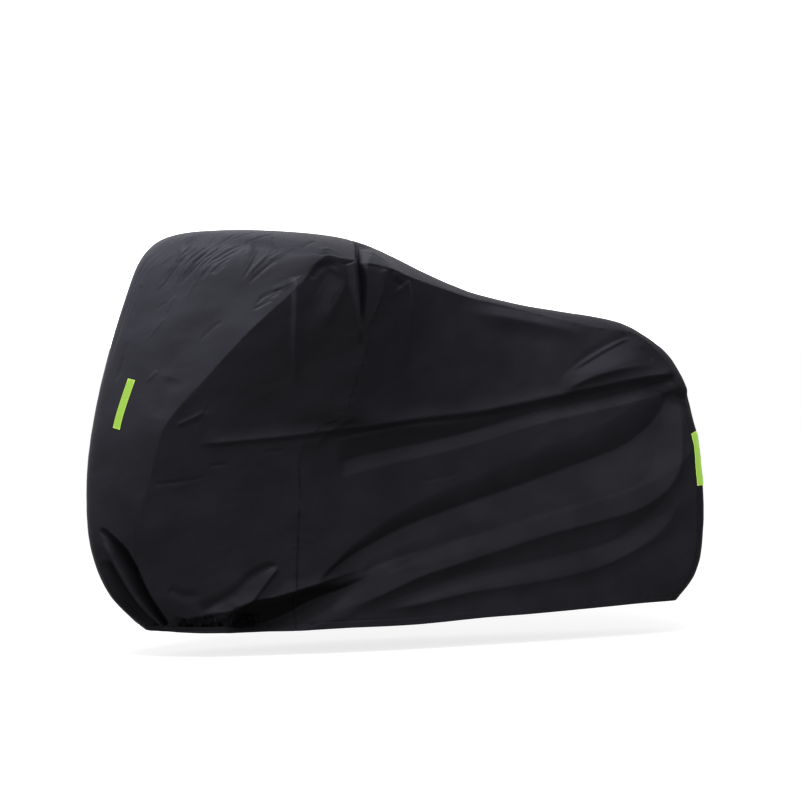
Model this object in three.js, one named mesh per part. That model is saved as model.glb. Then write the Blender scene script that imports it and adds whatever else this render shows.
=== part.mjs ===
// A fitted bicycle cover, as it hangs: a shaped centre panel over nose, handlebar, saddle and back, two pieced side
// panels on each side, and two reflective strips. It is hollow and open at the hem.
// Millimetres, +Z up. -X is the front, -Y the near side. The origin is where the top rests on the handlebar.
import * as THREE from "three";

const CLOTH = 2.4; // the sheet's depth along the inward direction, a little more than its thickness
const SEAM_GAP = 0.3; // between two panels that meet at a seam
const STRIP_LIFT = 0.7; // between a reflective strip and the cloth under it
const STRIP_THICK = 1.5;
const EPS = 1e-6;

const FABRIC = { color: 0x17171a, roughness: 0.55, metalness: 0 };
const REFLECTOR = { color: 0xa6cf46, roughness: 0.45, metalness: 0 };

// How many quads each seam is divided into
const STEPS = { ridge: 32, tip: 12, top: 26, across: 10 };

// The ribs of the centre panel, from the front hem over the top to the rear hem. Each rib runs from the centre line
// (cx, cz) to the near seam (sx, half, sz); full is how far it keeps its first direction before it turns to the seam.
const RIBS = [
  { at: "front hem", cx: -478, cz: -1035, sx: -435, half: 55, sz: -1035, full: 0.6 },
  { at: "front", cx: -570, cz: -948, sx: -505, half: 65, sz: -948, full: 0.6 },
  { at: "front", cx: -616, cz: -843, sx: -525, half: 80, sz: -843, full: 0.55 },
  { at: "front", cx: -630, cz: -763, sx: -529, half: 100, sz: -763, full: 0.5 },
  { at: "front", cx: -632, cz: -659, sx: -501, half: 125, sz: -659, full: 0.45 },
  { at: "front", cx: -627, cz: -581, sx: -487, half: 145, sz: -581, full: 0.42 },
  { at: "nose", cx: -613, cz: -491, sx: -467, half: 170, sz: -491, full: 0.4 },
  { at: "nose", cx: -592, cz: -389, sx: -385, half: 210, sz: -389, full: 0.38 },
  { at: "nose", cx: -553, cz: -249, sx: -270, half: 270, sz: -249, full: 0.36 },
  { at: "nose", cx: -515, cz: -135, sx: -151, half: 315, sz: -135, full: 0.36 },
  { at: "tip front", cx: -482, cz: -60, sx: -91, half: 335, sz: -59, full: 0.42 },
  { at: "tip", cx: -420, cz: -7, sx: -55, half: 338, sz: -65, full: 0.55 },
  { at: "tip", cx: -280, cz: 13, sx: -15, half: 340, sz: -71, full: 0.65 },
  { at: "tip", cx: -120, cz: 12, sx: 35, half: 340, sz: -80, full: 0.7 },
  { at: "tip rear", cx: 20, cz: 0, sx: 92, half: 335, sz: -93, full: 0.7 },
  { at: "behind bar", cx: 120, cz: -24, sx: 163, half: 270, sz: -112, full: 0.6 },
  { at: "behind bar", cx: 220, cz: -66, sx: 275, half: 195, sz: -139, full: 0.6 },
  { at: "saddle", cx: 330, cz: -114, sx: 384, half: 135, sz: -165, full: 0.6 },
  { at: "saddle", cx: 440, cz: -151, sx: 477, half: 100, sz: -181, full: 0.6 },
  { at: "saddle", cx: 550, cz: -176, sx: 570, half: 90, sz: -202, full: 0.6 },
  { at: "saddle", cx: 650, cz: -193, sx: 666, half: 90, sz: -224, full: 0.6 },
  { at: "rear top", cx: 780, cz: -211, sx: 787, half: 90, sz: -246, full: 0.6 },
  { at: "rear top", cx: 880, cz: -230, sx: 884, half: 90, sz: -257, full: 0.6 },
  { at: "shoulder", cx: 966, cz: -274, sx: 957, half: 85, sz: -308, full: 0.6 },
  { at: "rear corner", cx: 1035, cz: -325, sx: 1013, half: 80, sz: -369, full: 0.6 },
  { at: "back", cx: 1094, cz: -423, sx: 1053, half: 75, sz: -448, full: 0.6 },
  { at: "back", cx: 1121, cz: -530, sx: 1081, half: 70, sz: -561, full: 0.6 },
  { at: "back", cx: 1140, cz: -655, sx: 1094, half: 70, sz: -674, full: 0.6 },
  { at: "back", cx: 1145, cz: -770, sx: 1101, half: 70, sz: -787, full: 0.6 },
  { at: "back", cx: 1138, cz: -875, sx: 1095, half: 70, sz: -886, full: 0.6 },
  { at: "back", cx: 1117, cz: -950, sx: 1070, half: 70, sz: -956, full: 0.6 },
  { at: "rear hem", cx: 1058, cz: -1015, sx: 1017, half: 70, sz: -1012, full: 0.6 },
];

// The upright side seam, from the handlebar's tip down to the hem
const SIDE_SEAM = [
  { x: 92, half: 335, z: -93 },
  { x: 75, half: 320, z: -147 },
  { x: 51, half: 290, z: -249 },
  { x: 34, half: 260, z: -340 },
  { x: 15, half: 235, z: -418 },
  { x: 1, half: 220, z: -470 },
  { x: -63, half: 205, z: -504 },
  { x: -107, half: 190, z: -561 },
  { x: -106, half: 170, z: -692 },
  { x: -106, half: 150, z: -851 },
  { x: -105, half: 130, z: -1039 },
];

// The hem of the front panel and of the rear panel
const FRONT_HEM = [
  { x: -435, half: 55, z: -1035 },
  { x: -354, half: 90, z: -1039 },
  { x: -214, half: 120, z: -1039 },
  { x: -105, half: 130, z: -1039 },
];
const REAR_HEM = [
  { x: -105, half: 130, z: -1039 },
  { x: 25, half: 140, z: -1036 },
  { x: 227, half: 140, z: -1035 },
  { x: 439, half: 130, z: -1026 },
  { x: 584, half: 120, z: -1023 },
  { x: 785, half: 100, z: -1017 },
  { x: 914, half: 85, z: -1013 },
  { x: 1017, half: 70, z: -1012 },
];

// The folds of the near side, seen from the side: each follows its path of [x, z] points from front to rear, or from
// top to bottom, and is a trough (or a ridge where depth is negative) with a flank on its left and on its right. Both
// flanks are given at the path's start and end, and fade is the part of the length over which each end runs out.
const NEAR_FOLDS = [
  {
    at: "long crease from the rear corner",
    path: [[-387, -541], [-242, -540], [-110, -520], [-6, -501], [130, -479], [315, -473], [568, -439],
      [853, -396], [1020, -377]],
    depth: -6, left: [30, 30], right: [16, 12], fade: [0.1, 0.08],
  },
  {
    at: "trough under the long crease",
    path: [[-8, -582], [142, -566], [319, -546], [444, -522], [568, -494], [691, -455], [817, -429],
      [943, -402], [1021, -370]],
    depth: 12, left: [60, 26], right: [34, 18], fade: [0.15, 0.1],
  },
  {
    at: "main drag fold from the rear corner to the front wheel",
    path: [[-230, -969], [-124, -935], [-24, -896], [69, -855], [315, -760], [565, -684], [753, -632], [855, -600],
      [945, -544], [998, -464], [1029, -403]],
    depth: 24, left: [55, 60], right: [60, 120], fade: [0.08, 0.1],
  },
  {
    at: "second drag fold",
    path: [[-15, -966], [187, -905], [435, -826], [561, -796], [788, -759], [919, -728], [1000, -683],
      [1040, -628]],
    depth: 12, left: [40, 45], right: [45, 50], fade: [0.15, 0.15],
  },
  {
    at: "low drag fold",
    path: [[120, -985], [270, -955], [431, -927], [618, -899], [814, -869], [970, -788], [1015, -742]],
    depth: 7, left: [45, 45], right: [45, 45], fade: [0.2, 0.2],
  },
  {
    at: "lap over the front wheel",
    path: [[-360, -990], [-226, -945], [-124, -900], [-50, -868]],
    depth: -14, left: [50, 40], right: [32, 30], fade: [0.25, 0.3],
  },
  {
    at: "crease from the nose to the front hem",
    path: [[-608, -768], [-592, -786], [-532, -840], [-476, -949], [-435, -1028]],
    depth: 16, left: [30, 34], right: [20, 24], fade: [0.15, 0.02],
  },
  {
    at: "second crease at the front hem",
    path: [[-597, -818], [-568, -875], [-480, -1002]],
    depth: 9, left: [18, 20], right: [20, 20], fade: [0.2, 0.1],
  },
  {
    at: "cleft at the handlebar's end",
    path: [[39, -25], [4, -76], [14, -134], [28, -198], [51, -288]],
    depth: 18, left: [26, 34], right: [22, 20], fade: [0.1, 0.3],
  },
  {
    at: "ridge before the cleft",
    path: [[-22, -96], [-6, -172], [20, -275]],
    depth: -8, left: [16, 16], right: [30, 24], fade: [0.15, 0.3],
  },
  {
    at: "hanging fold behind the cleft",
    path: [[110, -125], [140, -240], [175, -360]],
    depth: -9, left: [40, 40], right: [45, 45], fade: [0.15, 0.4],
  },
  {
    at: "hanging trough before the cleft",
    path: [[-140, -150], [-140, -260], [-120, -390]],
    depth: 9, left: [40, 40], right: [40, 40], fade: [0.25, 0.4],
  },
  {
    at: "shoulder crease",
    path: [[695, -364], [788, -312], [875, -263]],
    depth: 9, left: [30, 18], right: [26, 70], fade: [0.25, 0.1],
  },
];

// The far side hangs in folds of its own, plainer ones
const FAR_FOLDS = [
  {
    at: "long drag fold",
    path: [[-180, -985], [60, -900], [330, -800], [620, -700], [850, -590], [1000, -450]],
    depth: 20, left: [60, 50], right: [60, 90], fade: [0.1, 0.12],
  },
  {
    at: "second drag fold",
    path: [[80, -980], [380, -890], [700, -800], [930, -700], [1030, -600]],
    depth: 11, left: [45, 45], right: [50, 50], fade: [0.2, 0.15],
  },
  {
    at: "upper drag fold",
    path: [[40, -640], [330, -570], [640, -480], [980, -390]],
    depth: 12, left: [55, 30], right: [40, 25], fade: [0.25, 0.1],
  },
  {
    at: "hanging fold under the handlebar's end",
    path: [[20, -110], [30, -220], [10, -360]],
    depth: 14, left: [32, 40], right: [28, 30], fade: [0.15, 0.4],
  },
  {
    at: "hanging fold before it",
    path: [[-80, -150], [-100, -280], [-150, -420]],
    depth: 9, left: [40, 40], right: [36, 40], fade: [0.25, 0.4],
  },
  {
    at: "crease from the nose to the front hem",
    path: [[-600, -800], [-545, -880], [-470, -1000]],
    depth: 12, left: [28, 28], right: [24, 24], fade: [0.2, 0.05],
  },
  {
    at: "lap over the front wheel",
    path: [[-340, -985], [-190, -930], [-60, -860]],
    depth: -12, left: [50, 40], right: [34, 30], fade: [0.25, 0.3],
  },
];

// The elastic in the front hem draws the cloth into gathers, which run out upwards
const GATHERS = { from: -470, to: -130, runOut: 60, depth: 8, pitch: 58, uneven: 1.4, drift: 47, tall: 75 };

const HEM_Z = -1039;
const smooth = (lo, hi, v) => THREE.MathUtils.smoothstep(v, lo, hi);

// A curve through a table's rows, on the near side
function curveThrough(rows, place) {
  return new THREE.CatmullRomCurve3(rows.map(place), false, "centripetal");
}

const onSeam = (r) => new THREE.Vector3(r.sx, -r.half, r.sz);
const onCentre = (r) => new THREE.Vector3(r.cx, 0, r.cz);
const onRow = (r) => new THREE.Vector3(r.x, -r.half, r.z);

const seamCurve = curveThrough(RIBS, onSeam);
const centreCurve = curveThrough(RIBS, onCentre);
const ribAt = (name) => RIBS.findIndex((r) => r.at === name) / (RIBS.length - 1);
const TIP_FRONT = ribAt("tip front");
const TIP_REAR = ribAt("tip rear");
const REAR_CORNER = ribAt("rear corner");

// The curve's own parameters at stops that lie evenly along it
function evenStops(curve, from, to, count, fine = 400) {
  const length = [0];
  let last = curve.getPoint(from);
  for (let i = 1; i <= fine; i++) {
    const p = curve.getPoint(from + ((to - from) * i) / fine);
    length.push(length[i - 1] + p.distanceTo(last));
    last = p;
  }
  const stops = [];
  let i = 0;
  for (let k = 0; k <= count; k++) {
    const want = (length[fine] * k) / count;
    while (i < fine - 1 && length[i + 1] < want) i++;
    const part = (want - length[i]) / (length[i + 1] - length[i]);
    stops.push(from + ((to - from) * (i + part)) / fine);
  }
  return stops;
}

const ridgeStops = evenStops(seamCurve, 0, TIP_FRONT, STEPS.ridge);
const tipStops = evenStops(seamCurve, TIP_FRONT, TIP_REAR, STEPS.tip);
const topStops = evenStops(seamCurve, TIP_REAR, REAR_CORNER, STEPS.top);
const backStops = evenStops(seamCurve, REAR_CORNER, 1, STEPS.ridge);

// How full a rib is between its rows
function fullness(u) {
  const k = Math.min(u, 1 - EPS) * (RIBS.length - 1);
  const i = Math.floor(k);
  return THREE.MathUtils.lerp(RIBS[i].full, RIBS[i + 1].full, k - i);
}

// A point of the centre panel: u runs along it, v from the near seam (-1) over the centre line to the far seam (1)
function centrePoint(u, v) {
  const seam = seamCurve.getPoint(u);
  const centre = centreCurve.getPoint(u);
  const turn = new THREE.Vector3(centre.x, fullness(u) * seam.y, centre.z);
  const side = Math.abs(v);
  const p = new THREE.QuadraticBezierCurve3(centre, turn, seam).getPoint(side);
  if (v > 0) p.y = -p.y;
  return p;
}

// A patch between four curves, each given by its points at even stops
function patchPoint(edges, i, j, columns, rows) {
  const s = i / columns;
  const t = j / rows;
  const p = new THREE.Vector3();
  p.addScaledVector(edges.low[i], 1 - t);
  p.addScaledVector(edges.high[i], t);
  p.addScaledVector(edges.front[j], 1 - s);
  p.addScaledVector(edges.rear[j], s);
  p.addScaledVector(edges.low[0], -(1 - s) * (1 - t));
  p.addScaledVector(edges.low[columns], -s * (1 - t));
  p.addScaledVector(edges.high[0], -(1 - s) * t);
  p.addScaledVector(edges.high[columns], -s * t);
  return p;
}

// The direction that points inwards from anywhere on the cover, so that all inner faces follow the outer ones
const HEART = { x: 270, z: -560, long: 900, wide: 300, tall: 600 };
function inward(p) {
  return new THREE.Vector3(
    -(p.x - HEART.x) / HEART.long ** 2,
    -p.y / HEART.wide ** 2,
    -(p.z - HEART.z) / HEART.tall ** 2,
  ).normalize();
}

// A fold with its path drawn out as short straight pieces
function traced(fold, pieces = 28) {
  const points = new THREE.SplineCurve(fold.path.map(([x, z]) => new THREE.Vector2(x, z))).getPoints(pieces);
  return { ...fold, points };
}

const nearFolds = NEAR_FOLDS.map((fold) => traced(fold));
const farFolds = FAR_FOLDS.map((fold) => traced(fold));

// How far a fold lies inwards at a place seen from the side
function foldDepth(fold, x, z) {
  let best = { far: Infinity };
  const last = fold.points.length - 1;
  for (let k = 0; k < last; k++) {
    const a = fold.points[k];
    const b = fold.points[k + 1];
    const [dx, dz] = [b.x - a.x, b.y - a.y];
    const t = THREE.MathUtils.clamp(((x - a.x) * dx + (z - a.y) * dz) / (dx * dx + dz * dz), 0, 1);
    const [ox, oz] = [x - a.x - t * dx, z - a.y - t * dz];
    const far = Math.hypot(ox, oz);
    if (far < best.far) best = { far, along: (k + t) / last, left: dx * oz - dz * ox > 0 };
  }
  const [start, end] = best.left ? fold.left : fold.right;
  const flank = THREE.MathUtils.lerp(start, end, best.along);
  const rise = Math.max(0, 1 - best.far / flank) ** 2;
  const runOut = smooth(0, fold.fade[0], best.along) * smooth(0, fold.fade[1], 1 - best.along);
  return fold.depth * rise * runOut;
}

function gatherDepth(x, z) {
  const low = 1 - smooth(HEM_Z, HEM_Z + GATHERS.tall, z);
  const within = smooth(GATHERS.from, GATHERS.from + GATHERS.runOut, x) *
    (1 - smooth(GATHERS.to - GATHERS.runOut, GATHERS.to, x));
  const wave = Math.sin((2 * Math.PI * x) / GATHERS.pitch + GATHERS.uneven * Math.sin(x / GATHERS.drift));
  return GATHERS.depth * low * within * (0.5 + 0.5 * wave);
}

// The point with its folds: the cloth moves along the inward direction
function folded(p, share = 1) {
  const folds = p.y < 0 ? nearFolds : farFolds;
  let depth = gatherDepth(p.x, p.z);
  for (const fold of folds) depth += foldDepth(fold, p.x, p.z);
  return p.clone().addScaledVector(inward(p), depth * share);
}

// A closed sheet from a grid of outer points, drawn in at its rim by half the gap that a seam keeps
function sheet(grid, gap = SEAM_GAP, depth = CLOTH) {
  const columns = grid.length;
  const rows = grid[0].length;
  const drawnIn = (p, q) => (gap ? p.clone().add(q.clone().sub(p).setLength(gap / 2)) : p);
  const outer = grid.map((column, i) =>
    column.map((p, j) => {
      let r = p.clone();
      if (i === 0) r = drawnIn(r, grid[1][j]);
      if (i === columns - 1) r = drawnIn(r, grid[columns - 2][j]);
      if (j === 0) r = drawnIn(r, column[1]);
      if (j === rows - 1) r = drawnIn(r, column[rows - 2]);
      return r;
    }),
  );
  const points = [];
  outer.forEach((column) => column.forEach((p) => points.push(p)));
  const count = points.length;
  for (let k = 0; k < count; k++) points.push(points[k].clone().addScaledVector(inward(points[k]), depth));
  const at = (i, j) => i * rows + j;
  const faces = [];
  const quad = (a, b, c, d) => faces.push(a, b, c, a, c, d);
  for (let i = 0; i + 1 < columns; i++)
    for (let j = 0; j + 1 < rows; j++) {
      const [a, b, c, d] = [at(i, j), at(i + 1, j), at(i + 1, j + 1), at(i, j + 1)];
      quad(a, b, c, d);
      quad(d + count, c + count, b + count, a + count);
    }
  const wall = (a, b) => quad(b, a, a + count, b + count);
  for (let i = 0; i + 1 < columns; i++) {
    wall(at(i, 0), at(i + 1, 0));
    wall(at(i + 1, rows - 1), at(i, rows - 1));
  }
  for (let j = 0; j + 1 < rows; j++) {
    wall(at(0, j + 1), at(0, j));
    wall(at(columns - 1, j), at(columns - 1, j + 1));
  }
  const geometry = new THREE.BufferGeometry();
  geometry.setFromPoints(points);
  geometry.setIndex(faces);
  return geometry;
}

const cover = new THREE.Group();
cover.name = "bicycle_cover";

function add(name, geometry, look) {
  geometry.computeVertexNormals();
  const mesh = new THREE.Mesh(geometry, new THREE.MeshStandardMaterial(look));
  mesh.name = name;
  cover.add(mesh);
}

// Mirrors a near point to the far side
const toFar = (p) => new THREE.Vector3(p.x, -p.y, p.z);

const stopsOnSeam = (stops) => stops.map((u) => seamCurve.getPoint(u));

function stopsOn(rows, count) {
  const curve = curveThrough(rows, onRow);
  return evenStops(curve, 0, 1, count).map((u) => curve.getPoint(u));
}

const sideSeam = stopsOn(SIDE_SEAM, STEPS.ridge).reverse();

function patchGrid(edges, columns, rows, place) {
  return Array.from({ length: columns + 1 }, (_, i) =>
    Array.from({ length: rows + 1 }, (_, j) => folded(place(patchPoint(edges, i, j, columns, rows)))),
  );
}

const frontEdges = {
  front: stopsOnSeam(ridgeStops),
  high: stopsOnSeam(tipStops),
  rear: sideSeam,
  low: stopsOn(FRONT_HEM, STEPS.tip),
};
const rearEdges = {
  front: sideSeam,
  high: stopsOnSeam(topStops),
  rear: stopsOnSeam(backStops).reverse(),
  low: stopsOn(REAR_HEM, STEPS.top),
};

const asNear = (p) => p;
function addSide(side, place, order) {
  add(`${side}_front_panel`, sheet(order(patchGrid(frontEdges, STEPS.tip, STEPS.ridge, place))), FABRIC);
  add(`${side}_rear_panel`, sheet(order(patchGrid(rearEdges, STEPS.top, STEPS.ridge, place))), FABRIC);
}
addSide("near", asNear, (grid) => grid);
addSide("far", toFar, (grid) => grid.reverse());

const allStops = [...ridgeStops, ...tipStops.slice(1), ...topStops.slice(1), ...backStops.slice(1)];
const FOLDS_START = 0.35; // the part of a rib, from the centre line, over which its folds come in
const centreGrid = allStops.map((u) =>
  Array.from({ length: STEPS.across + 1 }, (_, j) => {
    const v = (2 * j) / STEPS.across - 1;
    return folded(centrePoint(u, v), smooth(0, FOLDS_START, Math.abs(v)));
  }),
);
add("centre_panel", sheet(centreGrid), FABRIC);

// A point of the centre panel's faces at fractional places in its grid
function facePoint(i, j) {
  const m = Math.min(Math.floor(i), centreGrid.length - 2);
  const n = Math.min(Math.floor(j), STEPS.across - 1);
  const [a, b] = [i - m, j - n];
  const corner = centreGrid[m][n];
  const across = centreGrid[m + 1][n + 1];
  const third = b <= a ? centreGrid[m + 1][n] : centreGrid[m][n + 1];
  const [first, second] = b <= a ? [a, b] : [b, a];
  const p = corner.clone().addScaledVector(third.clone().sub(corner), first);
  return p.addScaledVector(across.clone().sub(third), second);
}

// The place in the grid's long direction where the centre panel's column n comes to height z
function rowAtHeight(n, z, from, to) {
  const step = Math.sign(to - from);
  for (let m = from; m !== to; m += step) {
    const [p, q] = [centreGrid[m][n].z, centreGrid[m + step][n].z];
    if ((p - z) * (q - z) <= 0) return m + (step * (z - p)) / (q - p);
  }
  return to;
}

// The stops between two places in a grid: both ends, and each whole number between them
function stopsBetween(lo, hi, closest = 0.1) {
  const stops = [lo];
  for (let k = Math.ceil(lo + closest); k < hi - closest; k++) stops.push(k);
  return [...stops, hi];
}

// The reflective strips on the near half of the centre panel, each between two heights and two of the panel's columns
const LAST_ROW = allStops.length - 1;
const STRIPS = [
  { name: "front_reflector", low: -509, high: -376, from: 2.05, to: 2.6, rows: [0, STEPS.ridge] },
  { name: "rear_reflector", low: -691, high: -544, from: 0.15, to: 1.75, rows: [LAST_ROW, LAST_ROW - STEPS.ridge] },
];
for (const strip of STRIPS) {
  const column = Math.round(strip.from);
  const ends = [strip.low, strip.high].map((z) => rowAtHeight(column, z, ...strip.rows)).sort((a, b) => a - b);
  const across = stopsBetween(strip.from, strip.to);
  const grid = stopsBetween(...ends).map((i) =>
    across.map((j) => {
      const p = facePoint(i, j);
      return p.addScaledVector(inward(p), -STRIP_LIFT - STRIP_THICK);
    }),
  );
  add(strip.name, sheet(grid, 0, STRIP_THICK), REFLECTOR);
}

export default cover;
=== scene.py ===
# The looks of a fitted bicycle cover: a shaped centre panel over nose, handlebar, saddle and back, two pieced
# side panels on each side, seams, stitching, a turned hem and two reflective strips, over a plain pale floor.
# Tables are in millimetres, +Z up, with -X the front and -Y the near side. Meshes are made in metres, and so
# are the values of the materials, the floor, the lamps and the camera.
from collections import namedtuple

import bpy
import numpy as np
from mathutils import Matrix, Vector


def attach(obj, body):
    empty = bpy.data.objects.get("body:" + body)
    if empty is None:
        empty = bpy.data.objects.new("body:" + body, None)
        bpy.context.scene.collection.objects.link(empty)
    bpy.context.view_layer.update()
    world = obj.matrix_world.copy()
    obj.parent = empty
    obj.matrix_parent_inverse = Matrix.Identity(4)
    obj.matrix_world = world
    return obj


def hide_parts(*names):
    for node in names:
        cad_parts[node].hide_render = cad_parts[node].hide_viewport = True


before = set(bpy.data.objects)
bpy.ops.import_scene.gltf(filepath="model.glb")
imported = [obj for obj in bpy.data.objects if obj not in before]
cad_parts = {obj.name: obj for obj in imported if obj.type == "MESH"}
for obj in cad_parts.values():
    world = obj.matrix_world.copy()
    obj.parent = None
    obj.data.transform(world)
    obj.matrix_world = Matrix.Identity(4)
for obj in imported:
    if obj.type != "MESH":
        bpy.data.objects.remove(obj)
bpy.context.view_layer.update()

MM = 0.001

# The ribs of the centre panel, from the front hem over the top to the rear hem. Each rib runs from the centre
# line (cx, cz) to the near seam (sx, half, sz); full is how far it keeps its first direction before it turns.
Rib = namedtuple("Rib", "at cx cz sx half sz full")
RIBS = [
    Rib("front hem", -478, -1035, -435, 55, -1035, 0.6),
    Rib("front", -570, -948, -505, 65, -948, 0.6),
    Rib("front", -616, -843, -525, 80, -843, 0.55),
    Rib("front", -630, -763, -529, 100, -763, 0.5),
    Rib("front", -632, -659, -501, 125, -659, 0.45),
    Rib("front", -627, -581, -487, 145, -581, 0.42),
    Rib("nose", -613, -491, -467, 170, -491, 0.4),
    Rib("nose", -592, -389, -385, 210, -389, 0.38),
    Rib("nose", -553, -249, -270, 270, -249, 0.36),
    Rib("nose", -515, -135, -151, 315, -135, 0.36),
    Rib("tip front", -482, -60, -91, 335, -59, 0.42),
    Rib("tip", -420, -7, -55, 338, -65, 0.55),
    Rib("tip", -280, 13, -15, 340, -71, 0.65),
    Rib("tip", -120, 12, 35, 340, -80, 0.7),
    Rib("tip rear", 20, 0, 92, 335, -93, 0.7),
    Rib("behind bar", 120, -24, 163, 270, -112, 0.6),
    Rib("behind bar", 220, -66, 275, 195, -139, 0.6),
    Rib("saddle", 330, -114, 384, 135, -165, 0.6),
    Rib("saddle", 440, -151, 477, 100, -181, 0.6),
    Rib("saddle", 550, -176, 570, 90, -202, 0.6),
    Rib("saddle", 650, -193, 666, 90, -224, 0.6),
    Rib("rear top", 780, -211, 787, 90, -246, 0.6),
    Rib("rear top", 880, -230, 884, 90, -257, 0.6),
    Rib("shoulder", 966, -274, 957, 85, -308, 0.6),
    Rib("rear corner", 1035, -325, 1013, 80, -369, 0.6),
    Rib("back", 1094, -423, 1053, 75, -448, 0.6),
    Rib("back", 1121, -530, 1081, 70, -561, 0.6),
    Rib("back", 1140, -655, 1094, 70, -674, 0.6),
    Rib("back", 1145, -770, 1101, 70, -787, 0.6),
    Rib("back", 1138, -875, 1095, 70, -886, 0.6),
    Rib("back", 1117, -950, 1070, 70, -956, 0.6),
    Rib("rear hem", 1058, -1015, 1017, 70, -1012, 0.6),
]

# Near edges of the side panels, each point (x, half, z): the upright side seam from the handlebar's end down,
# and the hems
SIDE_SEAM = [
    (92, 335, -93), (75, 320, -147), (51, 290, -249), (34, 260, -340), (15, 235, -418), (1, 220, -470),
    (-63, 205, -504), (-107, 190, -561), (-106, 170, -692), (-106, 150, -851), (-105, 130, -1039),
]
FRONT_HEM = [(-435, 55, -1035), (-354, 90, -1039), (-214, 120, -1039), (-105, 130, -1039)]
REAR_HEM = [
    (-105, 130, -1039), (25, 140, -1036), (227, 140, -1035), (439, 130, -1026), (584, 120, -1023),
    (785, 100, -1017), (914, 85, -1013), (1017, 70, -1012),
]
HEM_Z = -1039

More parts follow.
